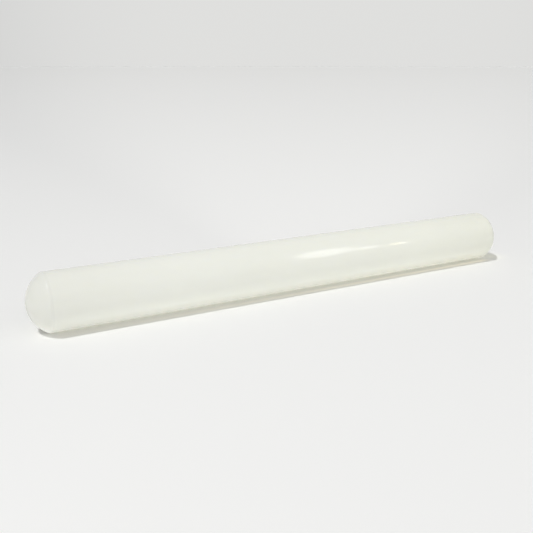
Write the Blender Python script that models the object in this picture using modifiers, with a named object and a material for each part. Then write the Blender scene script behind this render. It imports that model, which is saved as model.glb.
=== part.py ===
"""A long fondant rolling pin: an extruded polyethylene tube closed by two moulded domed plugs.

Metres, +Z up. The pin lies along X on the plane Z = 0, with the middle of its underside at the origin.
Each turned piece is drawn upright, its axis on local Z, and then laid along X.
"""

import math

import bmesh
import bpy
from mathutils import Matrix

# The whole pin
OVERALL_LENGTH = 0.500  # from one dome's tip to the other's
BARREL_DIAMETER = 0.050

# The tube
BARREL_WALL = 0.0046  # the usual wall of 50 mm polyethylene tube
MOUTH_CHAMFER = 0.0012  # leads the plug's bead into the bore
EDGE_BREAK = 0.0003  # takes the sharp edge off the tube's end and the plug's rim

# The plugs
DOME_HEIGHT = 0.0147  # from the crease to the tip
RIM_HEIGHT = 0.0020  # the straight rim between the seam and the crease
CREASE_ROUNDING = 0.0020
PLUG_WALL = 0.0030
SKIRT_LENGTH = 0.0240  # how far the plug reaches into the tube
LEAD_CHAMFER = 0.0015  # at the skirt's end
RIB_PAIRS = 3  # two ribs in line across the plug make a pair
RIB_THICKNESS = 0.0022

# How a plug holds in the tube
FIT_GAP = 0.0003  # clearance all round the skirt, the bead and the seam
BEAD_FROM_END = 0.0100  # from the skirt's end to the middle of its bead
BEAD_CREST = 0.0016
BEAD_GRIP = 0.0005  # how far the bead stands out past the bore
BEAD_FREEDOM = 0.0055  # plain skirt between the ribs and the bead, so that the bead can spring in

# How finely round things are cut up
FLATS = 64  # a multiple of four, so that one flat lies on the table
DOME_STEPS = 12
ROUNDING_STEPS = 3
SHARP_ANGLE = math.radians(20)

PLASTIC = ((0.80, 0.80, 0.74, 1.0), 0.38)  # milky natural polyethylene: colour and roughness

half_flat = math.pi / FLATS
barrel_radius = BARREL_DIAMETER / 2
bore_radius = barrel_radius - BARREL_WALL
skirt_radius = bore_radius - FIT_GAP
bead_radius = bore_radius + BEAD_GRIP
bead_setback = SKIRT_LENGTH - BEAD_FROM_END
barrel_length = OVERALL_LENGTH - 2 * (DOME_HEIGHT + RIM_HEIGHT + FIT_GAP)


def clear_scene():
    for old in list(bpy.data.objects):
        bpy.data.objects.remove(old, do_unlink=True)


def new_collection(name, hidden=False):
    collection = bpy.data.collections.new(name)
    bpy.context.scene.collection.children.link(collection)
    collection.hide_render = hidden
    return collection


def plastic_material(name):
    colour, roughness = PLASTIC
    material = bpy.data.materials.new(name)
    material.use_nodes = True
    shader = material.node_tree.nodes["Principled BSDF"]
    shader.inputs["Base Color"].default_value = colour
    shader.inputs["Roughness"].default_value = roughness
    shader.inputs["Metallic"].default_value = 0.0
    return material


def arc(centre, radius, start, end, steps):
    """Points (r, z) along an arc, both ends included. Angles run from +r towards +z."""
    angles = [start + (end - start) * step / steps for step in range(steps + 1)]
    return [(centre[0] + radius * math.cos(a), centre[1] + radius * math.sin(a)) for a in angles]


def turned(name, profile, collection, closed=False):
    """A solid of revolution about local Z, from a profile of (r, z) points down its outer side.

    The profile stands half a flat round from +X, at the slant that makes each r the distance
    from the axis to the middle of a flat.
    """
    slant = math.tan(half_flat)
    points = [(r, r * slant, z) for r, z in profile]
    edges = [(i, i + 1) for i in range(len(points) - 1)]
    if closed:
        edges.append((len(points) - 1, 0))
    mesh = bpy.data.meshes.new(name)
    mesh.from_pydata(points, edges, [])
    solid = bpy.data.objects.new(name, mesh)
    collection.objects.link(solid)
    screw = solid.modifiers.new("turn", "SCREW")
    screw.axis = "Z"
    screw.steps = FLATS
    screw.render_steps = FLATS
    screw.use_merge_vertices = True
    screw.merge_threshold = 1e-6
    screw.use_smooth_shade = False
    return solid


def bead_half_width(radius, grown=0.0):
    """Half the width of the bead's section at a radius, with flanks at 45 degrees, grown all round."""
    crest = BEAD_CREST / 2 + grown * math.tan(math.pi / 8)
    return crest + (bead_radius + grown - radius)


def groove_profile(middle):
    """The corners of a retaining groove that fits a bead at this height, going up the bore."""
    floor_radius = bead_radius + FIT_GAP
    mouth = bead_half_width(bore_radius, FIT_GAP)
    floor = bead_half_width(floor_radius, FIT_GAP)
    return [
        (bore_radius, middle - mouth),
        (floor_radius, middle - floor),
        (floor_radius, middle + floor),
        (bore_radius, middle + mouth),
    ]


def barrel_profile():
    """Up the bore, over the upper end and down the outside, then the same at the lower end."""
    top = barrel_length / 2
    upper_end = groove_profile(top + FIT_GAP - bead_setback) + [
        (bore_radius, top - MOUTH_CHAMFER),
        (bore_radius + MOUTH_CHAMFER, top),
        (barrel_radius - EDGE_BREAK, top),
        (barrel_radius, top - EDGE_BREAK),
    ]
    lower_end = [(r, -z) for r, z in reversed(upper_end)]
    return upper_end + lower_end


def dome_sphere():
    """(height of the centre, radius) of the sphere through the crease circle and the dome's tip."""
    radius = (barrel_radius**2 + DOME_HEIGHT**2) / (2 * DOME_HEIGHT)
    return RIM_HEIGHT + DOME_HEIGHT - radius, radius


def dome_profile():
    """From the tip over the dome and the crease's rounding to the top of the rim."""
    centre, radius = dome_sphere()
    corner_r = barrel_radius - CREASE_ROUNDING
    corner_z = math.sqrt((radius - CREASE_ROUNDING) ** 2 - corner_r**2)
    meets = math.atan2(corner_z, corner_r)
    dome = arc((0.0, centre), radius, math.pi / 2, meets, DOME_STEPS)
    rounding = arc((corner_r, centre + corner_z), CREASE_ROUNDING, meets, 0.0, ROUNDING_STEPS)
    dome[0] = (0.0, centre + radius)
    return dome + rounding[1:]


def plug_profile():
    """The plug as a solid: dome, rim, shoulder at Z = 0, skirt with its bead, and the chamfered end."""
    base = bead_half_width(skirt_radius)
    return dome_profile() + [
        (barrel_radius, EDGE_BREAK),
        (barrel_radius - EDGE_BREAK, 0.0),
        (skirt_radius, 0.0),
        (skirt_radius, -bead_setback + base),
        (bead_radius, -bead_setback + BEAD_CREST / 2),
        (bead_radius, -bead_setback - BEAD_CREST / 2),
        (skirt_radius, -bead_setback - base),
        (skirt_radius, LEAD_CHAMFER - SKIRT_LENGTH),
        (skirt_radius - LEAD_CHAMFER, -SKIRT_LENGTH),
        (0.0, -SKIRT_LENGTH),
    ]


def hollow_profile():
    """The plug's inside, one wall in from the dome and the skirt, and open past the skirt's end."""
    centre, radius = dome_sphere()
    inner_radius = radius - PLUG_WALL
    cavity_radius = skirt_radius - PLUG_WALL
    meets = math.acos(cavity_radius / inner_radius)
    roof = arc((0.0, centre), inner_radius, math.pi / 2, meets, DOME_STEPS)
    roof[0] = (0.0, centre + inner_radius)
    past_end = -SKIRT_LENGTH - PLUG_WALL
    return roof + [(cavity_radius, past_end), (0.0, past_end)]


def rib_plate(name, angle, collection):
    """A plate across the plug's axis, for two ribs in line, from over the roof to short of the bead."""
    top = RIM_HEIGHT + DOME_HEIGHT
    bottom = BEAD_FREEDOM + bead_half_width(skirt_radius) - bead_setback
    box = bmesh.new()
    bmesh.ops.create_cube(box, size=1.0)
    bmesh.ops.scale(box, vec=(BARREL_DIAMETER, RIB_THICKNESS, top - bottom), verts=box.verts)
    bmesh.ops.translate(box, vec=(0.0, 0.0, (top + bottom) / 2), verts=box.verts)
    bmesh.ops.rotate(box, matrix=Matrix.Rotation(angle, 3, "Z"), verts=box.verts)
    mesh = bpy.data.meshes.new(name)
    box.to_mesh(mesh)
    box.free()
    plate = bpy.data.objects.new(name, mesh)
    collection.objects.link(plate)
    return plate


def cut(solid, cutter):
    """Subtracts the cutter, which stays in the scene as a wire that isn't rendered."""
    boolean = solid.modifiers.new("cut " + cutter.name, "BOOLEAN")
    boolean.operation = "DIFFERENCE"
    boolean.solver = "EXACT"
    boolean.object = cutter
    cutter.hide_render = True
    cutter.display_type = "WIRE"


def smooth_by_angle():
    """A node group that shades a mesh smooth, but for the edges that are sharper than SHARP_ANGLE."""
    group = bpy.data.node_groups.new("smooth_by_angle", "GeometryNodeTree")
    group.interface.new_socket("Geometry", in_out="INPUT", socket_type="NodeSocketGeometry")
    group.interface.new_socket("Geometry", in_out="OUTPUT", socket_type="NodeSocketGeometry")
    start = group.nodes.new("NodeGroupInput")
    angle = group.nodes.new("GeometryNodeInputMeshEdgeAngle")
    sharp = group.nodes.new("FunctionNodeCompare")
    sharp.operation = "GREATER_THAN"
    sharp.inputs["B"].default_value = SHARP_ANGLE
    faces = group.nodes.new("GeometryNodeSetShadeSmooth")
    edges = group.nodes.new("GeometryNodeSetShadeSmooth")
    edges.domain = "EDGE"
    edges.inputs["Shade Smooth"].default_value = False
    end = group.nodes.new("NodeGroupOutput")
    group.links.new(angle.outputs["Unsigned Angle"], sharp.inputs["A"])
    group.links.new(sharp.outputs["Result"], edges.inputs["Selection"])
    group.links.new(start.outputs["Geometry"], faces.inputs["Geometry"])
    group.links.new(faces.outputs["Geometry"], edges.inputs["Geometry"])
    group.links.new(edges.outputs["Geometry"], end.inputs["Geometry"])
    return group


def lay_down(solid, root, end, distance):
    """Points local Z along X, outwards at this end (-1 left, +1 right), and moves along the axis."""
    solid.parent = root
    solid.location = (end * distance, 0.0, 0.0)
    solid.rotation_euler = (0.0, end * math.pi / 2, 0.0)


def finish(solid):
    """Gives the piece its own plastic and smooth shading."""
    solid.data.materials.append(plastic_material(solid.name + "_plastic"))
    smooth = solid.modifiers.new("smooth by angle", "NODES")
    smooth.node_group = bpy.data.node_groups.get("smooth_by_angle") or smooth_by_angle()


def make_barrel(root, parts):
    barrel = turned("barrel_tube", barrel_profile(), parts, closed=True)
    lay_down(barrel, root, 1, 0.0)
    finish(barrel)


def make_plug(name, end, root, parts, cutters):
    """The plug at one end of the tube, with a hollow cut into it that leaves the ribs standing."""
    plug = turned(name, plug_profile(), parts)
    hollow = turned(name + "_hollow", hollow_profile(), cutters)
    pieces = [plug, hollow]
    for pair in range(RIB_PAIRS):
        plate = rib_plate(f"{name}_ribs_{pair + 1}", math.pi * pair / RIB_PAIRS, cutters)
        cut(hollow, plate)
        pieces.append(plate)
    cut(plug, hollow)
    for piece in pieces:
        lay_down(piece, root, end, barrel_length / 2 + FIT_GAP)
    finish(plug)


def main():
    clear_scene()
    parts = new_collection("fondant_rolling_pin")
    cutters = new_collection("cutters", hidden=True)
    root = bpy.data.objects.new("pin_axis", None)
    root.location = (0.0, 0.0, barrel_radius)
    parts.objects.link(root)
    make_barrel(root, parts)
    make_plug("left_end_plug", -1, root, parts, cutters)
    make_plug("right_end_plug", 1, root, parts, cutters)


main()
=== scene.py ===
# %% [markdown]
# # A fondant rolling pin
#
# This is a long plain pin for sheeting sugar paste: a hollow tube of milky plastic, closed at both ends
# by domed plugs that are pushed in until their rims lie flush with it. It has no handles and no axle,
# because the palms roll the tube itself. The lesson turns its three pieces from their outlines, gives
# them a natural polyethylene, and lights them on a pale table.
#
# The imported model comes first. It is the fixed frame: every size below is read from it or fits inside it.

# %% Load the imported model
import math
from functools import partial

import bmesh
import bpy
from mathutils import Matrix, Vector


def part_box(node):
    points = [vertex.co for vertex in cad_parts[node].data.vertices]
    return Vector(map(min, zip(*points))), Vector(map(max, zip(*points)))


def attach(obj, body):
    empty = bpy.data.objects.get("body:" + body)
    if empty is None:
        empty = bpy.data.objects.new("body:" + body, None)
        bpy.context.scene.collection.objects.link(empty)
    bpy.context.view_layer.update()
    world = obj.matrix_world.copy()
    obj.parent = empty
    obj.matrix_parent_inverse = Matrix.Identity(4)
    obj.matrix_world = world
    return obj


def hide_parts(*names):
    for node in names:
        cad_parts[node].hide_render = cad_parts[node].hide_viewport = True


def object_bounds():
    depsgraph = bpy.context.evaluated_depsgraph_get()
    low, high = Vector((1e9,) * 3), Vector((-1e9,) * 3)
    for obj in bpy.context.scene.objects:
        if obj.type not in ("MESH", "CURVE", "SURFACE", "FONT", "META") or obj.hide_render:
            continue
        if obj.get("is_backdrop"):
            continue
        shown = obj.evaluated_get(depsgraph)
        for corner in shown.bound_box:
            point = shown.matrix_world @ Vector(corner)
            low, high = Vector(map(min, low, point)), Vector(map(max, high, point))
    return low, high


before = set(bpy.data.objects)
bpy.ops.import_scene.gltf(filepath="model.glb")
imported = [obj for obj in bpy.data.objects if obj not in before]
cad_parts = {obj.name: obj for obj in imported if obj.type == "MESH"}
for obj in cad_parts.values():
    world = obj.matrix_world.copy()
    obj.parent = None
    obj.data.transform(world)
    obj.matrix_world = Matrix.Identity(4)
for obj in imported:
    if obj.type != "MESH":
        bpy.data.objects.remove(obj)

MM = 0.001
box_at_load = [list(corner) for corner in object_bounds()]
barrel_low, barrel_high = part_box("barrel_tube")
plug_low, plug_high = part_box("right_end_plug")
barrel_radius = (barrel_high.z - barrel_low.z) / 2
half_length = plug_high.x
print(f"the pin is {2 * half_length / MM:.0f} mm long and {2 * barrel_radius / MM:.0f} mm thick")

# %% [markdown]
# ## The camera
#
# The picture was taken from in front of the pin and to its left, a little above it, so that the pin runs
# away to the right and gets smaller. A camera could be placed by eye, or aimed by a Track To constraint.
# Here its place and its aim were worked out from the outline of the pin, whose two long edges meet at a
# vanishing point, so both are written as numbers, and so is the lens that a 36 mm wide sensor needs.

# %% Set up the camera
CAMERA_PLACE = Vector((-0.33843, -0.54895, 0.20824))
CAMERA_AIM = Vector((0.46812, 0.83881, -0.27797))
FOCAL_PIXELS = 700.0
PICTURE_PIXELS = 533.0
SENSOR_WIDTH = 36.0  # in millimetres, as Blender counts lenses and sensors

camera_data = bpy.data.cameras.new("camera")
camera_data.sensor_width = SENSOR_WIDTH
camera_data.lens = SENSOR_WIDTH * FOCAL_PIXELS / PICTURE_PIXELS
camera = bpy.data.objects.new("camera", camera_data)
camera.location = CAMERA_PLACE
camera.rotation_euler = CAMERA_AIM.to_track_quat("-Z", "Y").to_euler()
bpy.context.scene.collection.objects.link(camera)
bpy.context.scene.camera = camera
bpy.context.scene.view_settings.view_transform = "Standard"
print(f"lens {camera_data.lens:.1f} mm, {CAMERA_PLACE.length:.2f} m from the middle of the pin")

# %% [markdown]
# ## Maths with sockets
#
# Geometry Nodes and materials are both trees of nodes, and a formula in them soon becomes a crowd of Math
# nodes and links. The class below wraps one output socket, so that a formula is written as Python and each
# operator adds its own node. Every other node comes from one method, which takes the node's type, then its
# settings, then what goes into its sockets.


# %% Wrap a socket
class Wire:
    """An output socket of a node tree, with Python's operators turned into Math nodes."""

    def __init__(self, socket):
        self.socket = socket
        self.tree = socket.id_data

    @classmethod
    def node(cls, tree, kind, settings=None, sockets=None):
        """Adds a node: its settings, then the values or links of its sockets. Gives its first output."""
        node = tree.nodes.new(kind)
        for name, value in (settings or {}).items():
            setattr(node, name, value)
        for name, value in (sockets or {}).items():
            for one in value if isinstance(value, list) else [value]:
                if isinstance(one, Wire):
                    tree.links.new(one.socket, node.inputs[name])
                else:
                    node.inputs[name].default_value = one
        shown = [output for output in node.outputs if output.enabled]
        return cls(shown[0]) if shown else None

    def __getitem__(self, name):
        """Another output of the same node."""
        return Wire(self.socket.node.outputs[name])

    def math(self, operation, *others):
        """A Math node that starts from this socket."""
        sockets = dict(enumerate((self, *others)))
        return Wire.node(self.tree, "ShaderNodeMath", {"operation": operation}, sockets)

    def __add__(self, other):
        return self.math("ADD", other)

    def __sub__(self, other):
        return self.math("SUBTRACT", other)

    def __mul__(self, other):
        return self.math("MULTIPLY", other)

    def __truediv__(self, other):
        return self.math("DIVIDE", other)

    def __rsub__(self, other):
        return self * -1.0 + other

    __radd__ = __add__
    __rmul__ = __mul__


trial = bpy.data.node_groups.new("trial", "GeometryNodeTree")
twice_and_one_more = Wire.node(trial, "GeometryNodeInputIndex") * 2.0 + 1.0
last_node = twice_and_one_more.socket.node
print("index * 2.0 + 1.0 is", len(trial.nodes), "nodes, the last one", last_node.operation)
bpy.data.node_groups.remove(trial)

# %% [markdown]
# ## A tree that turns an outline
#
# The tube and the plugs are solids of revolution, so half of a section through the axis says everything
# about their shape. The Screw or Spin tool could turn that outline. Geometry Nodes do it here, because
# they also round the corners, each by an amount that it carries as an attribute, and because the sizes
# stay named inputs. The outline is a flat wire of points (distance from the axis, height along it). The
# nodes make it a curve, fillet it, sweep it round a circle and join what meets on the axis.

# %% Nodes that turn an outline
SWEEP_RADIUS = 1.0  # of the circle that the outline is swept round, which cancels out
MERGE_DISTANCE = 0.002 * MM


def turn_outline(make, given, outline):
    """Adds the nodes that turn a wire outline into a solid that stands upright on Z."""
    rounding = make("GeometryNodeInputNamedAttribute", {"data_type": "FLOAT"}, {"Name": "rounding"})
    wire = make("GeometryNodeMeshToCurve", None, {"Mesh": outline})
    rounded = make("GeometryNodeFilletCurve", {"mode": "POLY"}, {
        "Curve": wire,
        "Count": given["Rounding Steps"],
        "Radius": rounding,
        "Limit Radius": True,
    })
    moved_in = make("GeometryNodeTransform", None, {
        "Geometry": rounded,
        "Translation": (-SWEEP_RADIUS, 0.0, 0.0),
        "Scale": (1.0, -1.0, 1.0),
    })
    circle = make("GeometryNodeCurvePrimitiveCircle", None, {
        "Resolution": given["Steps"],
        "Radius": SWEEP_RADIUS,
    })
    swept = make("GeometryNodeCurveToMesh", None, {"Curve": circle, "Profile Curve": moved_in})
    return make("GeometryNodeMergeByDistance", None, {"Geometry": swept, "Distance": MERGE_DISTANCE})


print(f"points closer than {MERGE_DISTANCE / MM} mm are joined")

# %% [markdown]
# Every tree ends in the same way. The solid is laid along X and moved to its place, and shaded smooth but
# for its sharp edges. Realize Instances and Set Material come last, because an exported model has neither
# instances nor a material that only the modifier knows. The tube's tree needs nothing else, so it is
# finished here.

# %% Nodes that finish a piece
SHARP = math.radians(32)
FINISH_INPUTS = {"Turn": "Vector", "Place": "Vector", "Material": "Material"}


def new_tree(name, inputs):
    """A Geometry Nodes tree with a geometry and these named inputs, and the wires that bring them in."""
    tree = bpy.data.node_groups.new(name, "GeometryNodeTree")
    tree.interface.new_socket("Geometry", in_out="INPUT", socket_type="NodeSocketGeometry")
    for label, kind in inputs.items():
        tree.interface.new_socket(label, in_out="INPUT", socket_type="NodeSocket" + kind)
    tree.interface.new_socket("Geometry", in_out="OUTPUT", socket_type="NodeSocketGeometry")
    return tree, Wire.node(tree, "NodeGroupInput")


def finish_tree(make, given, solid):
    """Adds the nodes that lay a solid down, shade it, and give it its material."""
    rotation = make("FunctionNodeEulerToRotation", None, {"Euler": given["Turn"]})
    laid = make("GeometryNodeTransform", None, {
        "Geometry": solid,
        "Translation": given["Place"],
        "Rotation": rotation,
    })
    smooth = make("GeometryNodeSetShadeSmooth", {"domain": "FACE"}, {"Geometry": laid})
    angle = make("GeometryNodeInputMeshEdgeAngle")
    sharp = make("FunctionNodeCompare", {"operation": "GREATER_THAN"}, {"A": angle, "B": SHARP})
    shaded = make("GeometryNodeSetShadeSmooth", {"domain": "EDGE"}, {
        "Geometry": smooth,
        "Selection": sharp,
        "Shade Smooth": False,
    })
    real = make("GeometryNodeRealizeInstances", None, {"Geometry": shaded})
    made = make("GeometryNodeSetMaterial", None, {"Geometry": real, "Material": given["Material"]})
    make("NodeGroupOutput", None, {"Geometry": made})


tube_tree, given = new_tree("turned_tube", {"Steps": "Int", "Rounding Steps": "Int"} | FINISH_INPUTS)
make = partial(Wire.node, tube_tree)
finish_tree(make, given, turn_outline(make, given, given["Geometry"]))
print("turned_tube has", len(tube_tree.nodes), "nodes")

# %% [markdown]
# ## Company for rounded corners
#
# Smooth shading blends the direction of neighbouring faces, so a tiny rounding at the end of a tube half a
# metre long would darken the tube all the way along. Weighted normals or a bevel with a hardened edge would
# cure that too. Here a pair of extra points close to each rounded corner keeps the blend where it belongs.

# %% Support the rounded corners
SUPPORT = 0.12 * MM  # from the end of a rounding to the extra point


def toward(start, end, distance):
    """The point this far from one corner towards another, with no rounding of its own."""
    share = distance / math.dist(start[:2], end[:2])
    return tuple(a + (b - a) * share for a, b in zip(start[:2], end[:2])) + (0.0,)


def with_supports(corners, closed):
    """Adds points beside the rounded corners of an outline of (distance, height, rounding)."""
    points = []
    for i, corner in enumerate(corners):
        before = corners[i - 1] if closed or i else None
        after = corners[(i + 1) % len(corners)] if closed or i + 1 < len(corners) else None
        if not corner[2] or before is None or after is None:
            points.append(corner)
            continue
        first = Vector(corner[:2]) - Vector(before[:2])
        second = Vector(after[:2]) - Vector(corner[:2])
        reach = corner[2] * math.tan(first.angle(second) / 2) + SUPPORT
        if first.length > 2 * reach:
            points.append(toward(corner, before, reach))
        points.append(corner)
        if second.length > 2 * reach:
            points.append(toward(corner, after, reach))
    return points


rounded_triangle = [(0.0, 0.0, MM), (0.1, 0.0, MM), (0.0, 0.1, MM)]
print("a rounded triangle gets", len(with_supports(rounded_triangle, True)), "points")

# %% [markdown]
# ## From an outline to a plain mesh
#
# An outline goes to the nodes as an object with points and edges but no faces. A curve object would do as
# well, but a mesh can carry two more values at each point: its rounding, and whether it belongs to a rib.
#
# The finished tree is evaluated once and its result kept as a plain mesh. The outline has done its work
# then, and the object stays at the origin with its place in its mesh.

# %% Turn outlines into pieces
STEPS = 256
ROUNDING_STEPS = 5
CUBIC_CM = 1e-6


def outline_object(name, outlines):
    """A wire object from outlines of (points, closed, whether it is a rib's)."""
    mesh = bpy.data.meshes.new(name)
    points = [point for outline, closed, rib in outlines for point in outline]
    edges = []
    first = 0
    for outline, closed, rib in outlines:
        last = first + len(outline)
        edges += [(i, i + 1) for i in range(first, last - 1)]
        if closed:
            edges.append((last - 1, first))
        first = last
    mesh.from_pydata([(r, h, 0.0) for r, h, rounding in points], edges, [])
    roundings = mesh.attributes.new("rounding", "FLOAT", "POINT")
    roundings.data.foreach_set("value", [point[2] for point in points])
    ribs = mesh.attributes.new("rib", "BOOLEAN", "POINT")
    ribs.data.foreach_set("value", [rib for outline, closed, rib in outlines for point in outline])
    made = bpy.data.objects.new(name, mesh)
    bpy.context.scene.collection.objects.link(made)
    return made


def bake_tree(made, tree, values):
    """Runs the tree on the object with these inputs and keeps what comes out as its plain mesh."""
    modifier = made.modifiers.new(tree.name, "NODES")
    modifier.node_group = tree
    for item in tree.interface.items_tree:
        if item.in_out == "INPUT" and item.name in values:
            modifier[item.identifier] = values[item.name]
    seen = bpy.context.evaluated_depsgraph_get()
    mesh = bpy.data.meshes.new_from_object(made.evaluated_get(seen))
    made.modifiers.clear()
    outline, made.data = made.data, mesh
    mesh.name = made.name
    bpy.data.meshes.remove(outline)


def check_solid(made):
    """Turns the faces outwards, and prints whether the mesh is closed and how much plastic it holds."""
    work = bmesh.new()
    work.from_mesh(made.data)
    bmesh.ops.recalc_face_normals(work, faces=work.faces)
    loose = sum(not edge.is_manifold for edge in work.edges)
    triangles = sum(len(face.verts) - 2 for face in work.faces)
    volume = work.calc_volume(signed=True) / CUBIC_CM
    work.to_mesh(made.data)
    work.free()
    print(f"{made.name}: {triangles} triangles, {loose} open edges, {volume:.1f} cm3")


print(f"a step round the pin is {2 * math.pi * barrel_radius / STEPS / MM:.2f} mm")

# %% [markdown]
# ## Painted shade and tint along the pin
#
# The pin is not equally bright from end to end. Its colour carries a painted shade that makes it a little
# darker towards both ends, probably because less light comes back out of the tube where the plugs close it,
# and a painted tint of warmer light that makes it very slightly yellower towards the right. Colours
# painted on the vertices could say that, but they would depend on the mesh.
# Two ramps on the distance along the pin do it on any mesh.

# %% Shade the plastic along the pin
# painted shade: towards both ends the colour is multiplied by END_SHADE
END_SHADE = (0.965, 0.963, 0.956, 1.0)
END_SHADE_FROM = barrel_high.x - 110 * MM
END_SHADE_TO = barrel_high.x + 5 * MM
# painted tint of warmer light: from LEFT_TONE at the left end to RIGHT_TONE at the right
LEFT_TONE = (1.0, 1.0, 1.016, 1.0)
RIGHT_TONE = (1.0, 1.0, 0.978, 1.0)


def mix_colours(make, factor, first, second, how="MIX"):
    """Goes from the first colour to the second, or, with MULTIPLY, to the product of both."""
    settings = {"data_type": "RGBA", "blend_type": how}
    return make("ShaderNodeMix", settings, {"Factor": factor, "A": first, "B": second})


def smooth_step(make, value, start, end):
    """Rises softly from 0 at the start to 1 at the end, which may be smaller than the start."""
    return make("ShaderNodeMapRange", {"interpolation_type": "SMOOTHSTEP"}, {
        "Value": value,
        "From Min": start,
        "From Max": end,
    })


def from_left(make, x):
    """Rises evenly from 0 at the pin's left end to 1 at its right end."""
    return make("ShaderNodeMapRange", None, {"Value": x, "From Min": -half_length, "From Max": half_length})


def toned_along(make, colour, x):
    """The colour with the painted shade of the pin's ends and the painted tint of warmer light to the right.
    """
    # painted shade towards the ends
    near_end = smooth_step(make, x.math("ABSOLUTE"), END_SHADE_FROM, END_SHADE_TO)
    end_shaded = mix_colours(make, near_end, colour, END_SHADE, "MULTIPLY")
    # painted tint of the warmer light towards the right end
    warm_light_tint = mix_colours(make, from_left(make, x), LEFT_TONE, RIGHT_TONE)
    return mix_colours(make, 1.0, end_shaded, warm_light_tint, "MULTIPLY")


print(f"the ends are up to {100 * (1 - END_SHADE[1]):.1f} percent darker than the middle")

# %% [markdown]
# ## Marks of making
#
# The die leaves faint lines along the tube, and the turned mould leaves faint rings on the plugs. Both are
# the same noise, read at coordinates that are squeezed in one direction, so that its specks are drawn out
# into lines. A wave texture would repeat at even distances, as no tool mark does. The marks stand out by
# two microns, which is only enough to soften the edges of reflections.

# %% Draw out a noise
DRAWN_SQUEEZE = 0.012
RING_SQUEEZE = 0.015
MARKS_HEIGHT = 0.002 * MM


def noise(make, place, scale, detail, roughness):
    """A noise with about this many specks to the metre."""
    return make("ShaderNodeTexNoise", {"noise_dimensions": "3D"}, {
        "Vector": place,
        "Scale": scale,
        "Detail": detail,
        "Roughness": roughness,
    })


def drawn_along(make, x, y, z):
    """Coordinates that hardly change along the tube, so that a pattern on them becomes lengthwise lines."""
    return make("ShaderNodeCombineXYZ", None, {"X": x * DRAWN_SQUEEZE, "Y": y, "Z": z})


def ringed(make, x, y, z):
    """Coordinates that hardly change round the axis, so that a pattern on them becomes rings."""
    from_axis = (y * y + z * z).math("SQRT")
    return make("ShaderNodeCombineXYZ", None, {"X": x, "Y": from_axis, "Z": z * RING_SQUEEZE})


print(f"a speck becomes a line {1 / DRAWN_SQUEEZE:.0f} times as long on the tube")

# %% [markdown]
# ## The plastic
#
# Natural polyethylene is milky and faintly green-yellow. Some of the light goes below its surface and
# comes out beside the place where it went in, which evens out its shading. A flat cream colour would look
# like paint. So the material scatters a share of its light just below the surface, and besides the tones
# and the marks above, two things vary: the colour is a little cloudy, as the melt was, and the gloss is
# broken by scuffs. The tube is glossier than the plugs, as it comes out of a polished die.

# %% Mix a natural polyethylene
SCATTER_SHARE = 0.12
SCATTER_DEPTH = 0.25 * MM
SCATTER_COLOUR = (1.0, 0.92, 0.62)
PLASTIC_IOR = 1.51
CLOUDS = (22.0, 3.0, 0.5)  # of each noise: specks to the metre, detail and roughness
FINE_MARKS = (900.0, 3.0, 0.6)
BROAD_MARKS = (170.0, 1.0, 0.5)
SCUFFS = (60.0, 5.0, 0.7)
GRAIN = (2400.0, 2.0, 0.5)
NOISE_MIDDLE = 0.5
CLOUDS_IN_TINT = 0.6
MARKS_IN_TINT = 0.4
TINT_CONTRAST = 2.6
TINT_OFFSET = -0.8
SCUFFS_IN_GLOSS = 0.05
MARKS_IN_GLOSS = 0.03
FINE_MARKS_RISE = 0.55
BROAD_MARKS_RISE = 0.9
GRAIN_RISE = 0.12


def new_material(name):
    """An empty material, and the method that adds nodes to it."""
    material = bpy.data.materials.new(name)
    material.use_nodes = True
    material.node_tree.nodes.clear()
    return material, partial(Wire.node, material.node_tree)


def milky_plastic(name, tints, roughness, marked):
    """Natural polyethylene with its two tints, its roughness, and marks that are drawn_along or ringed."""
    material, make = new_material(name)
    place = make("ShaderNodeTexCoord")["Object"]
    centred = make("ShaderNodeMapping", None, {"Vector": place, "Location": (0.0, 0.0, -barrel_radius)})
    x = make("ShaderNodeSeparateXYZ", None, {"Vector": centred})
    flow = marked(make, x, x["Y"], x["Z"])
    clouds = noise(make, centred, *CLOUDS)
    fine_marks = noise(make, flow, *FINE_MARKS)
    broad_marks = noise(make, flow, *BROAD_MARKS)
    scuffs = noise(make, centred, *SCUFFS)
    grain = noise(make, centred, *GRAIN)
    clouded = (clouds * CLOUDS_IN_TINT + broad_marks * MARKS_IN_TINT) * TINT_CONTRAST + TINT_OFFSET
    tint = mix_colours(make, clouded.math("MINIMUM", 1.0), *tints)
    scuffed = roughness + (scuffs - NOISE_MIDDLE) * SCUFFS_IN_GLOSS
    rough = scuffed + (fine_marks - NOISE_MIDDLE) * MARKS_IN_GLOSS
    height = fine_marks * FINE_MARKS_RISE + broad_marks * BROAD_MARKS_RISE + grain * GRAIN_RISE
    bump = make("ShaderNodeBump", None, {"Strength": 1.0, "Distance": MARKS_HEIGHT, "Height": height})
    plastic = make("ShaderNodeBsdfPrincipled", {"subsurface_method": "RANDOM_WALK"}, {
        "Base Color": toned_along(make, tint, x),
        "Roughness": rough,
        "IOR": PLASTIC_IOR,
        "Normal": bump,
        "Subsurface Weight": SCATTER_SHARE,
        "Subsurface Radius": SCATTER_COLOUR,
        "Subsurface Scale": SCATTER_DEPTH,
    })
    make("ShaderNodeOutputMaterial", None, {"Surface": plastic})
    print(f"{name} has {len(material.node_tree.nodes)} nodes")
    return material


BARREL_TINTS = ((0.868, 0.877, 0.799, 1.0), (0.878, 0.887, 0.814, 1.0))
PLUG_TINTS = ((0.846, 0.854, 0.782, 1.0), (0.854, 0.862, 0.795, 1.0))
BARREL_ROUGHNESS = 0.07
PLUG_ROUGHNESS = 0.22
barrel_plastic = milky_plastic("barrel_polyethylene", BARREL_TINTS, BARREL_ROUGHNESS, drawn_along)
plug_plastic = milky_plastic("plug_polyethylene", PLUG_TINTS, PLUG_ROUGHNESS, ringed)

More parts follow.
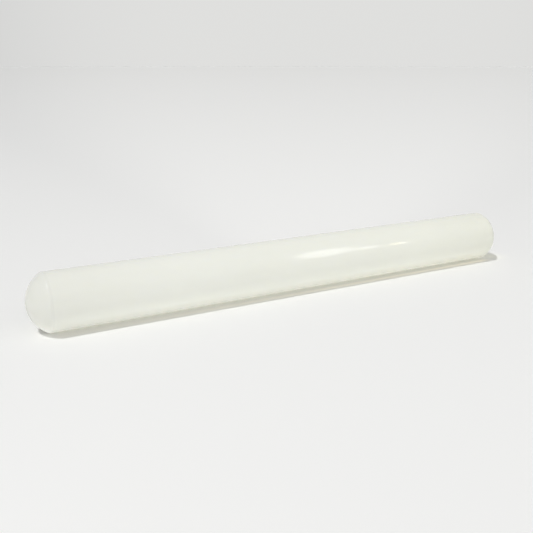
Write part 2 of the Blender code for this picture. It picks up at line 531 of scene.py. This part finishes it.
# %% [markdown]
# ## The barrel
#
# The barrel is a length of extruded tube. Its outline goes up the bore, through the retaining groove that
# a plug's bead snaps into, over the mouth and down the outside, and the lower half mirrors the upper. A
# cylinder with a Solidify modifier would give the wall, but not the groove or the mouth's lead-in, so the
# outline has every corner and the tree turns it whole. The bore is there although no one sees it, because
# the mesh is kept as a piece in its own right. The plain solids leave a gap at the seam, which is closed
# here to a few microns, because a push fit shows none.

# %% Turn the barrel
BARREL_WALL = 4.6 * MM
MOUTH_CHAMFER = 1.2 * MM
SOLIDS_SEAM_GAP = 0.3 * MM
SEAM_GAP = 0.003 * MM
EDGE_ROUNDING = 0.008 * MM
GROOVE_ROUNDING = 0.2 * MM
SKIRT_CLEARANCE = 0.10 * MM
BEAD_CREST = 1.6 * MM
BEAD_GRIP = 0.5 * MM
BEAD_FROM_END = 10.0 * MM

bore_radius = barrel_radius - BARREL_WALL
bead_radius = bore_radius + BEAD_GRIP
barrel_end = barrel_high.x + (SOLIDS_SEAM_GAP - SEAM_GAP) / 2
shoulder = barrel_end + SEAM_GAP
bead_place = plug_low.x + BEAD_FROM_END


def bead_half_width(radius, grown=0.0):
    """Half the width of the bead at a radius, with flanks at 45 degrees, grown all round."""
    return BEAD_CREST / 2 + grown * math.tan(math.pi / 8) + bead_radius + grown - radius


def barrel_outline():
    """The wall of the tube as a closed outline."""
    floor = bead_radius + SKIRT_CLEARANCE
    mouth_half = bead_half_width(bore_radius, SKIRT_CLEARANCE)
    floor_half = bead_half_width(floor, SKIRT_CLEARANCE)
    upper = [
        (bore_radius, bead_place - mouth_half, GROOVE_ROUNDING),
        (floor, bead_place - floor_half, GROOVE_ROUNDING),
        (floor, bead_place + floor_half, GROOVE_ROUNDING),
        (bore_radius, bead_place + mouth_half, GROOVE_ROUNDING),
        (bore_radius, barrel_end - MOUTH_CHAMFER, GROOVE_ROUNDING),
        (bore_radius + MOUTH_CHAMFER, barrel_end, GROOVE_ROUNDING),
        (barrel_radius, barrel_end, EDGE_ROUNDING),
    ]
    return upper + [(r, -h, rounding) for r, h, rounding in reversed(upper)]


barrel = outline_object("barrel", [(with_supports(barrel_outline(), True), True, False)])
bake_tree(barrel, tube_tree, {
    "Steps": STEPS,
    "Rounding Steps": ROUNDING_STEPS,
    "Turn": (0.0, math.pi / 2, 0.0),
    "Place": (0.0, 0.0, barrel_radius),
    "Material": barrel_plastic,
})
check_solid(barrel)

# %% [markdown]
# ## The domed end
#
# Each plug is one moulding: a shallow dome, a crease, a short rim that lies flush with the tube, and a
# skirt inside the tube with a bead that snaps into its groove. The dome is a part of a sphere that
# meets the rim at an angle, and the crease is rounded by two millimetres, which is what catches the light
# in the picture. A sphere would end without a crease, so the dome and its rounding are drawn as arcs. At
# the tip is the small dimple that the moulding leaves where the plastic came in.

# %% Draw the dome
DOME_HEIGHT = 14.7 * MM
CREASE_ROUNDING = 2.0 * MM
GATE_RADIUS = 1.5 * MM
GATE_FLOOR_RADIUS = 0.7 * GATE_RADIUS
GATE_DEPTH = 0.25 * MM
GATE_ROUNDING = 0.15 * MM
DOME_STEPS = 56
CREASE_STEPS = 10

rim_height = half_length - shoulder - DOME_HEIGHT
dome_radius = (barrel_radius**2 + DOME_HEIGHT**2) / (2 * DOME_HEIGHT)
dome_centre = rim_height + DOME_HEIGHT - dome_radius


def arc(centre, radius, start, end, steps):
    """Points on an arc, both ends included. Angles run from the radius towards the height."""
    angles = [start + (end - start) * step / steps for step in range(steps + 1)]
    return [(centre[0] + radius * math.cos(a), centre[1] + radius * math.sin(a), 0.0) for a in angles]


def dome_outline():
    """From the dimple at the tip over the dome and the rounded crease to the top of the rim."""
    corner_r = barrel_radius - CREASE_ROUNDING
    corner_h = math.sqrt((dome_radius - CREASE_ROUNDING) ** 2 - corner_r**2)
    meets = math.atan2(corner_h, corner_r)
    gate = math.acos(GATE_RADIUS / dome_radius)
    dome = arc((0.0, dome_centre), dome_radius, gate, meets, DOME_STEPS)
    crease = arc((corner_r, dome_centre + corner_h), CREASE_ROUNDING, meets, 0.0, CREASE_STEPS)
    floor = dome[0][1] - GATE_DEPTH
    dimple = [
        (0.0, floor, 0.0),
        (GATE_FLOOR_RADIUS, floor, GATE_ROUNDING),
        dome[0][:2] + (GATE_ROUNDING,),
    ]
    return dimple + dome[1:] + crease[1:]


print(f"dome {DOME_HEIGHT / MM:.1f} mm high, sphere {dome_radius / MM:.1f} mm, rim {rim_height / MM:.2f} mm")

# %% [markdown]
# ## The skirt
#
# Below the rim the plug goes on inside the tube: a shoulder that stops it, a skirt that fits the bore, and
# near its end the bead, with a chamfer that leads it in. Inside, the plug is hollow, so that its wall is
# even and cools without sinking. The hollow could be cut out afterwards with a Boolean. As the outline
# is turned anyway, it just goes round the inside as well.

# %% Draw the plug's outline
PLUG_WALL = 3.0 * MM
LEAD_CHAMFER = 1.5 * MM
SKIRT_ROUNDING = 0.2 * MM
SKIRT_END_ROUNDING = 0.3 * MM

skirt_end = plug_low.x - shoulder
skirt_radius = bore_radius - SKIRT_CLEARANCE
bead_height = bead_place - shoulder


def cavity_outline(grown=0.0):
    """The roof of the plug's inside from the axis to the wall, and the wall's radius, both grown."""
    radius = dome_radius - PLUG_WALL + grown
    wall = skirt_radius - PLUG_WALL + grown
    return arc((0.0, dome_centre), radius, math.pi / 2, math.acos(wall / radius), DOME_STEPS), wall


def plug_outline():
    """The plug from its tip down the outside and back up the inside."""
    base = bead_half_width(skirt_radius)
    roof, wall = cavity_outline()
    roof[0] = (0.0, roof[0][1], 0.0)
    skirt = [
        (barrel_radius, 0.0, EDGE_ROUNDING),
        (skirt_radius, 0.0, SKIRT_ROUNDING),
        (skirt_radius, bead_height + base, SKIRT_ROUNDING),
        (bead_radius, bead_height + BEAD_CREST / 2, SKIRT_ROUNDING),
        (bead_radius, bead_height - BEAD_CREST / 2, SKIRT_ROUNDING),
        (skirt_radius, bead_height - base, SKIRT_ROUNDING),
        (skirt_radius, skirt_end + LEAD_CHAMFER, SKIRT_END_ROUNDING),
        (skirt_radius - LEAD_CHAMFER, skirt_end, SKIRT_END_ROUNDING),
        (wall, skirt_end, SKIRT_END_ROUNDING),
    ]
    return dome_outline() + skirt + roof[::-1]


print(f"the skirt reaches {-skirt_end / MM:.1f} mm into the tube")

# %% [markdown]
# ## Ribs inside the plugs
#
# Six ribs keep the plug round inside the tube. Each pair is one plate across the plug, under the roof and
# clear of the bead, which has to be able to spring. The plates are the same but for their angle, so
# Geometry Nodes draw one, put copies of it round the axis, and unite them with the cap. The plate's outline
# comes in with the cap's, marked by an attribute, and reaches a millimetre into the wall, so that the two
# overlap and leave no gap where they join.

# %% Nodes that make the ribbed plug
plug_tree, given = new_tree("ribbed_plug", {
    "Steps": "Int",
    "Rounding Steps": "Int",
    "Rib Pairs": "Int",
    "Rib Thickness": "Float",
} | FINISH_INPUTS)
make = partial(Wire.node, plug_tree)
is_rib = make("GeometryNodeInputNamedAttribute", {"data_type": "BOOLEAN"}, {"Name": "rib"})
plate_wire = make("GeometryNodeSeparateGeometry", {"domain": "POINT"}, {
    "Geometry": given["Geometry"],
    "Selection": is_rib,
})
cap = turn_outline(make, given, plate_wire["Inverted"])
half_thickness = given["Rib Thickness"] * 0.5
across_plate = make("GeometryNodeCurvePrimitiveLine", {"mode": "POINTS"}, {
    "Start": make("ShaderNodeCombineXYZ", None, {"Y": half_thickness * -1.0}),
    "End": make("ShaderNodeCombineXYZ", None, {"Y": half_thickness}),
})
plate = make("GeometryNodeCurveToMesh", None, {
    "Curve": across_plate,
    "Profile Curve": make("GeometryNodeMeshToCurve", None, {"Mesh": plate_wire}),
    "Fill Caps": True,
})
outward_plate = make("GeometryNodeFlipFaces", None, {"Mesh": plate})
turn = make("GeometryNodeInputIndex") * math.pi / given["Rib Pairs"]
plates = make("GeometryNodeInstanceOnPoints", None, {
    "Points": make("GeometryNodePoints", None, {"Count": given["Rib Pairs"]}),
    "Instance": outward_plate,
    "Rotation": make("FunctionNodeEulerToRotation", None, {
        "Euler": make("ShaderNodeCombineXYZ", None, {"Z": turn}),
    }),
})
whole = make("GeometryNodeMeshBoolean", {"operation": "UNION", "solver": "MANIFOLD"}, {
    1: [cap, plates],
})
finish_tree(make, given, whole)
print("ribbed_plug has", len(plug_tree.nodes), "nodes")

# %% [markdown]
# Both plugs come out of one mould, so one function makes both, turned to face opposite ways. A mirrored
# copy would turn its faces inside out, and a linked copy would share its place in the mesh.

# %% Turn the plugs
RIB_OVERLAP = 1.0 * MM
RIB_TO_BEAD = 5.5 * MM
RIB_PAIRS = 3
RIB_THICKNESS = 2.2 * MM
RIB_COARSENESS = 4  # the plate's roof takes every fourth point of the plug's


def rib_outline():
    """A plate across the plug, as a closed outline."""
    roof, wall = cavity_outline(RIB_OVERLAP)
    foot = bead_height + bead_half_width(skirt_radius) + RIB_TO_BEAD
    right = roof[::RIB_COARSENESS] + [(wall, foot, 0.0)]
    return right + [(-r, h, 0.0) for r, h, rounding in reversed(right[1:])]


def make_plug(name, end):
    """The plug at the tube's left (-1) or right (1) end."""
    outlines = [(with_supports(plug_outline(), False), False, False), (rib_outline(), True, True)]
    plug = outline_object(name, outlines)
    bake_tree(plug, plug_tree, {
        "Steps": STEPS,
        "Rounding Steps": ROUNDING_STEPS,
        "Rib Pairs": RIB_PAIRS,
        "Rib Thickness": RIB_THICKNESS,
        "Turn": (0.0, end * math.pi / 2, 0.0),
        "Place": (end * shoulder, 0.0, barrel_radius),
        "Material": plug_plastic,
    })
    check_solid(plug)
    return plug


left_plug = make_plug("left_plug", -1)
right_plug = make_plug("right_plug", 1)

# %% [markdown]
# ## The table
#
# The pin lies on a plain pale surface that fades with the distance, and more towards the back left, where
# the room is darker. A photographer bends a sheet of paper up behind the object for that. Here the table
# is a flat disc, so large that its edge is at the horizon, and the fade is in its colour: from a pool of
# light in front of the pin to a far tone that depends on the direction alone, so that the world behind it
# can show the same tone and hardly a line is left at the horizon.

# %% Mix the far tone
FAR_LIGHT = (0.813, 0.813, 0.799, 1.0)
FAR_DARK = (0.664, 0.667, 0.662, 1.0)
BRIGHT_SIDE = Vector((0.55, 0.835, 0.0))
BRIGHT_FROM = 0.83  # cosine of the angle to the bright side at which the dark tone ends
BRIGHT_TO = 0.99  # and of that at which the light tone is reached


def vector_math(make, operation, *values):
    """A Vector Math node on these values."""
    return make("ShaderNodeVectorMath", {"operation": operation}, dict(enumerate(values)))


def far_tone(make, place):
    """The tone of the far table and the backdrop, from where a point lies as seen from the origin."""
    level = vector_math(make, "NORMALIZE", vector_math(make, "MULTIPLY", place, (1.0, 1.0, 0.0)))
    facing = vector_math(make, "DOT_PRODUCT", level, BRIGHT_SIDE.normalized())["Value"]
    return mix_colours(make, smooth_step(make, facing, BRIGHT_FROM, BRIGHT_TO), FAR_DARK, FAR_LIGHT)


bright_angle = math.degrees(math.acos(BRIGHT_TO))
dark_angle = math.degrees(math.acos(BRIGHT_FROM))
print(f"light within {bright_angle:.0f} degrees of the bright side, dark beyond {dark_angle:.0f}")

# %% [markdown]
# ## Light through the pin
#
# The milky tube lets some of the daylight through to the table below it, and a renderer that follows only
# a few bounces loses that light, so that the shadow would be one even grey. Filling the wall with a
# scattering volume could bring it back, at many times the render time. Here the table's paint glows where
# that light lands: along the line on which the pin lies, gone within a finger's width; in a warm band
# about three quarters of the way to the shadow's edge, brighter towards the right, which leaves a darker
# line on both its sides; and in a spot at the foot of the right dome. Nearly all of it lies in the pin's
# own shadow.

# %% Let light through to the table
GLOW = 0.50
GLOW_REACH = 3.2 * MM
GLOW_SHIFT = 3.0 * MM  # towards the right, because the foot of the left dome stays dark
GLOW_TINT = (1.02, 1.0, 0.80)
PIN_END_FADE = (8 * MM, -4 * MM)  # past the tube's end, where the glow starts and where it is full
BAND_PLACE = 15.8 * MM
BAND_WIDTH = 2.8 * MM
BAND_LEFT = 0.010
BAND_RIGHT = 0.160
BAND_TINT = (1.18, 1.0, 0.68)
SPOT = 0.085
SPOT_CENTRE = (253 * MM, -6 * MM, 0.0)
SPOT_REACH = 13 * MM
SPOT_TINT = (1.0, 1.0, 0.45)


def bell(distance, reach):
    """A soft hump that is 1 where the distance is 0, and gone at about twice the reach."""
    share = distance / reach
    return (share * share * -1.0).math("EXPONENT")


def beside_pin(make, place):
    """How far along the pin and aside of it a place on the table is, and whether the pin is above it."""
    parts = make("ShaderNodeSeparateXYZ", None, {"Vector": place})
    from_middle = (parts["X"] - GLOW_SHIFT).math("ABSOLUTE")
    outside, inside = [barrel_high.x + past_end for past_end in PIN_END_FADE]
    return parts["X"], parts["Y"].math("ABSOLUTE"), smooth_step(make, from_middle, outside, inside)


def light_through(make, place, along, aside, under_pin):
    """The colour of the light that comes through the pin to a place on the table."""
    glow = (aside / -GLOW_REACH).math("EXPONENT") * under_pin * GLOW
    band_light = from_left(make, along) * (BAND_RIGHT - BAND_LEFT) + BAND_LEFT
    band = bell(aside - BAND_PLACE, BAND_WIDTH) * under_pin * band_light
    spot = bell(vector_math(make, "DISTANCE", place, SPOT_CENTRE)["Value"], SPOT_REACH) * SPOT
    shares = zip(("Red", "Green", "Blue"), GLOW_TINT, BAND_TINT, SPOT_TINT)
    return make("ShaderNodeCombineColor", None, {
        name: glow * of_glow + band * of_band + spot * of_spot for name, of_glow, of_band, of_spot in shares
    })


print(f"the band of light lies {BAND_PLACE / MM:.1f} mm from the line on which the pin rests")

# %% [markdown]
# The rest of the paint is plain: a pale grey, nearly without sheen. Within the shadow it is a little darker
# and warmer, because the strip lamps further down light the table by way of the tube's underside more
# than the real tube does. Light linking could keep a lamp itself off the table, but not the light that it
# sends there off the tube, so the paint makes up for it.

# %% Lay the table
TABLE_RADIUS = 60.0
TABLE_EDGES = 128
TABLE_ROUGHNESS = 0.8
TABLE_SPECULAR = 0.2
NEAR_COLOUR = (0.981, 0.981, 0.970, 1.0)
POOL_CENTRE = (-0.39, -0.275, 0.0)
POOL_REACH = 1.75
SHADE = (0.950, 0.940, 0.921, 1.0)
SHADE_OUTER_EDGE = (24 * MM, 18 * MM)
SHADE_INNER_EDGE = (3 * MM, 9 * MM)

table_mesh = bpy.data.meshes.new("table")
disc = bmesh.new()
bmesh.ops.create_circle(disc, cap_ends=True, segments=TABLE_EDGES, radius=TABLE_RADIUS)
disc.to_mesh(table_mesh)
disc.free()
table = bpy.data.objects.new("table", table_mesh)
bpy.context.scene.collection.objects.link(table)

table_paint, make = new_material("table_paint")
place = make("ShaderNodeTexCoord")["Object"]
from_pool = vector_math(make, "DISTANCE", place, POOL_CENTRE)["Value"]
fade = from_pool / (from_pool + POOL_REACH)
faded = mix_colours(make, fade, NEAR_COLOUR, far_tone(make, place))
along, aside, under_pin = beside_pin(make, place)
inside_shadow = smooth_step(make, aside, *SHADE_OUTER_EDGE) * smooth_step(make, aside, *SHADE_INNER_EDGE)
make("ShaderNodeOutputMaterial", None, {"Surface": make("ShaderNodeBsdfPrincipled", None, {
    "Base Color": mix_colours(make, inside_shadow * under_pin, faded, SHADE, "MULTIPLY"),
    "Roughness": TABLE_ROUGHNESS,
    "Specular IOR Level": TABLE_SPECULAR,
    "Emission Color": light_through(make, place, along, aside, under_pin),
    "Emission Strength": 1.0,
})})
table_mesh.materials.append(table_paint)
below_horizon = math.degrees(math.atan(CAMERA_PLACE.z / TABLE_RADIUS))
print(f"the table ends {below_horizon:.2f} degrees below the horizon")

# %% [markdown]
# ## Daylight
#
# The pin was lit by daylight from all round, and by more of it from the front, where the room is open. An
# environment picture would bring reflections of some other room along, so the world is one even tone with
# a soft brighter side. What the camera and the reflections see of it is the far tone of the table instead,
# so that no bright room shows behind the pin or mirrored in it.

# %% Fill the room with daylight
DAYLIGHT = 0.484
FRONT_LIGHT = 1.06
FRONT_FOCUS = 8.0
FRONT_SIDE = Vector((0.1, -1.0, 0.0))
TABLE_LIGHT = 0.912  # how brightly the far table is lit, for the backdrop to match it

world = bpy.data.worlds.new("daylight")
world.use_nodes = True
world.node_tree.nodes.clear()
bpy.context.scene.world = world
make = partial(Wire.node, world.node_tree)
direction = make("ShaderNodeTexCoord")["Generated"]
facing_front = vector_math(make, "DOT_PRODUCT", direction, FRONT_SIDE.normalized())["Value"]
toward_front = facing_front.math("MAXIMUM", 0.0).math("POWER", FRONT_FOCUS)
ray = make("ShaderNodeLightPath")
seen_or_mirrored = ray["Is Camera Ray"].math("MAXIMUM", ray["Is Glossy Ray"])
seen = seen_or_mirrored.math("MAXIMUM", ray["Is Transmission Ray"])
ambient = make("ShaderNodeBackground", None, {
    "Color": (1.0, 1.0, 1.0, 1.0),
    "Strength": toward_front * FRONT_LIGHT + DAYLIGHT,
})
backdrop = make("ShaderNodeBackground", None, {"Color": far_tone(make, direction), "Strength": TABLE_LIGHT})
make("ShaderNodeOutputWorld", None, {
    "Surface": make("ShaderNodeMixShader", None, {0: seen, 1: ambient, 2: backdrop}),
})
print(f"daylight is {DAYLIGHT:.2f} all round and {DAYLIGHT + FRONT_LIGHT:.2f} straight from the front")

# %% [markdown]
# ## Lamps
#
# A small lamp, high up on the left and a little in front, throws the pin's narrow shadow. An area lamp
# could do it from the right distance. A sun lamp is simpler, because only its direction counts, and the
# shadow's edge is straight and equally sharp from end to end.
#
# Two strips on the table, facing up, stand for the light that the milky tube carries down inside its wall
# to its underside: a narrow bright one next to the line on which it lies, and a broad faint one in front
# of that. Without them the lower edge of the pin would be much darker than in the picture.

# %% Hang the lamp and lay the strips
TO_CEILING_LAMP = Vector((-0.45, -0.15, 1.0))
CEILING_LAMP_STRENGTH = 1.33
CEILING_LAMP_ANGLE = math.radians(1.0)
AREA_LAMP_POWER = 4.0  # watts for each square metre of an area lamp of radiance 1, as Cycles counts them
TABLE_STRIPS = [  # from how far to how far in front of the line of contact, and the radiance
    (3 * MM, 15 * MM, 0.20),
    (15 * MM, 100 * MM, 0.074),
]
STRIP_OVERHANG = 30 * MM
STRIP_HEIGHT = 0.5 * MM
FACING_UP = (math.pi, 0.0, 0.0)


def add_light(name, kind, place, turn, **settings):
    """A lamp that the camera can't see, at a place and turned so."""
    data = bpy.data.lights.new(name, kind)
    for setting, value in settings.items():
        setattr(data, setting, value)
    lamp = bpy.data.objects.new(name, data)
    lamp.location = place
    lamp.rotation_euler = turn
    lamp.visible_camera = False
    bpy.context.scene.collection.objects.link(lamp)
    return lamp


add_light(
    "ceiling_lamp", "SUN", TO_CEILING_LAMP, TO_CEILING_LAMP.to_track_quat("Z", "Y").to_euler(),
    energy=CEILING_LAMP_STRENGTH, angle=CEILING_LAMP_ANGLE,
)
strip_length = 2 * (half_length + STRIP_OVERHANG)
for back, front, radiance in TABLE_STRIPS:
    width = front - back
    middle = (0.0, -(front + back) / 2, STRIP_HEIGHT)
    strip = add_light(
        f"table_strip_{front / MM:.0f}", "AREA", middle, FACING_UP,
        shape="RECTANGLE", size=strip_length, size_y=width,
        energy=AREA_LAMP_POWER * strip_length * width * radiance,
    )
    print(f"{strip.name} is {width / MM:.0f} mm wide and gives {strip.data.energy:.4f} W")

# %% [markdown]
# ## Windows
#
# Windows in front and to the right make the bright streak along the barrel: a large one and two small
# ones, the last of them warm, because the streak yellows towards its right end. A streak can be put where
# it belongs by moving a lamp about and rendering again. It is quicker to ask where the camera's ray goes
# after it has met the barrel at that spot: the lamp has to stand on that line, with its width towards the
# places that the barrel's length mirrors and its height towards those above and below.

# %% Open the windows
WINDOW_DISTANCE = 2.0
WHITE = (1.0, 1.0, 1.0)
WARM = (1.0, 0.87, 0.64)


def window_at(along, up, width, height, radiance, colour):
    """A window that the camera sees mirrored this far along the barrel, at this angle up its front."""
    normal = Vector((0.0, -math.cos(up), math.sin(up)))
    spot = Vector((along, 0.0, barrel_radius)) + normal * barrel_radius
    view = (spot - CAMERA_PLACE).normalized()
    line = view.reflect(normal)
    place = spot + line * WINDOW_DISTANCE
    upwards = line.cross(Vector((1.0, 0.0, 0.0))).normalized()
    turn = Matrix((upwards.cross(line), upwards, line)).transposed().to_euler()
    pane = math.pi / 4 * width * height
    window = add_light(
        f"window_{along / MM:.0f}", "AREA", place, turn, shape="ELLIPSE", size=width, size_y=height,
        energy=AREA_LAMP_POWER * pane * radiance, color=colour,
    )
    print(f"{window.name} stands at", tuple(round(c, 2) for c in place))


window_at(21 * MM, math.radians(30.7), width=0.22, height=0.95, radiance=2.45, colour=WHITE)
window_at(69 * MM, math.radians(28.0), width=0.08, height=0.34, radiance=3.0, colour=WHITE)
window_at(107 * MM, math.radians(27.6), width=0.07, height=0.28, radiance=4.1, colour=WARM)

# %% [markdown]
# ## The pieces and the pin's body
#
# Each new piece rides on the pin's one body and stands for the plain solid that it hides. The table is
# stage, not part of the pin. Last come the two boxes, of the plain model and of this one, which have
# to agree.

# %% Tie the pieces to the frame
PIECES = [
    (barrel, "barrel_tube", "barrel_plastic"),
    (left_plug, "left_end_plug", "plug_plastic"),
    (right_plug, "right_end_plug", "plug_plastic"),
]
for piece, node, slot in PIECES:
    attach(piece, "root")
    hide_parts(node)
table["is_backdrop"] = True

box_now = [list(corner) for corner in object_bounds()]
growth = max(abs(a - b) for before, now in zip(box_at_load, box_now) for a, b in zip(before, now))
print(f"the two boxes agree to {growth / MM:.3f} mm")
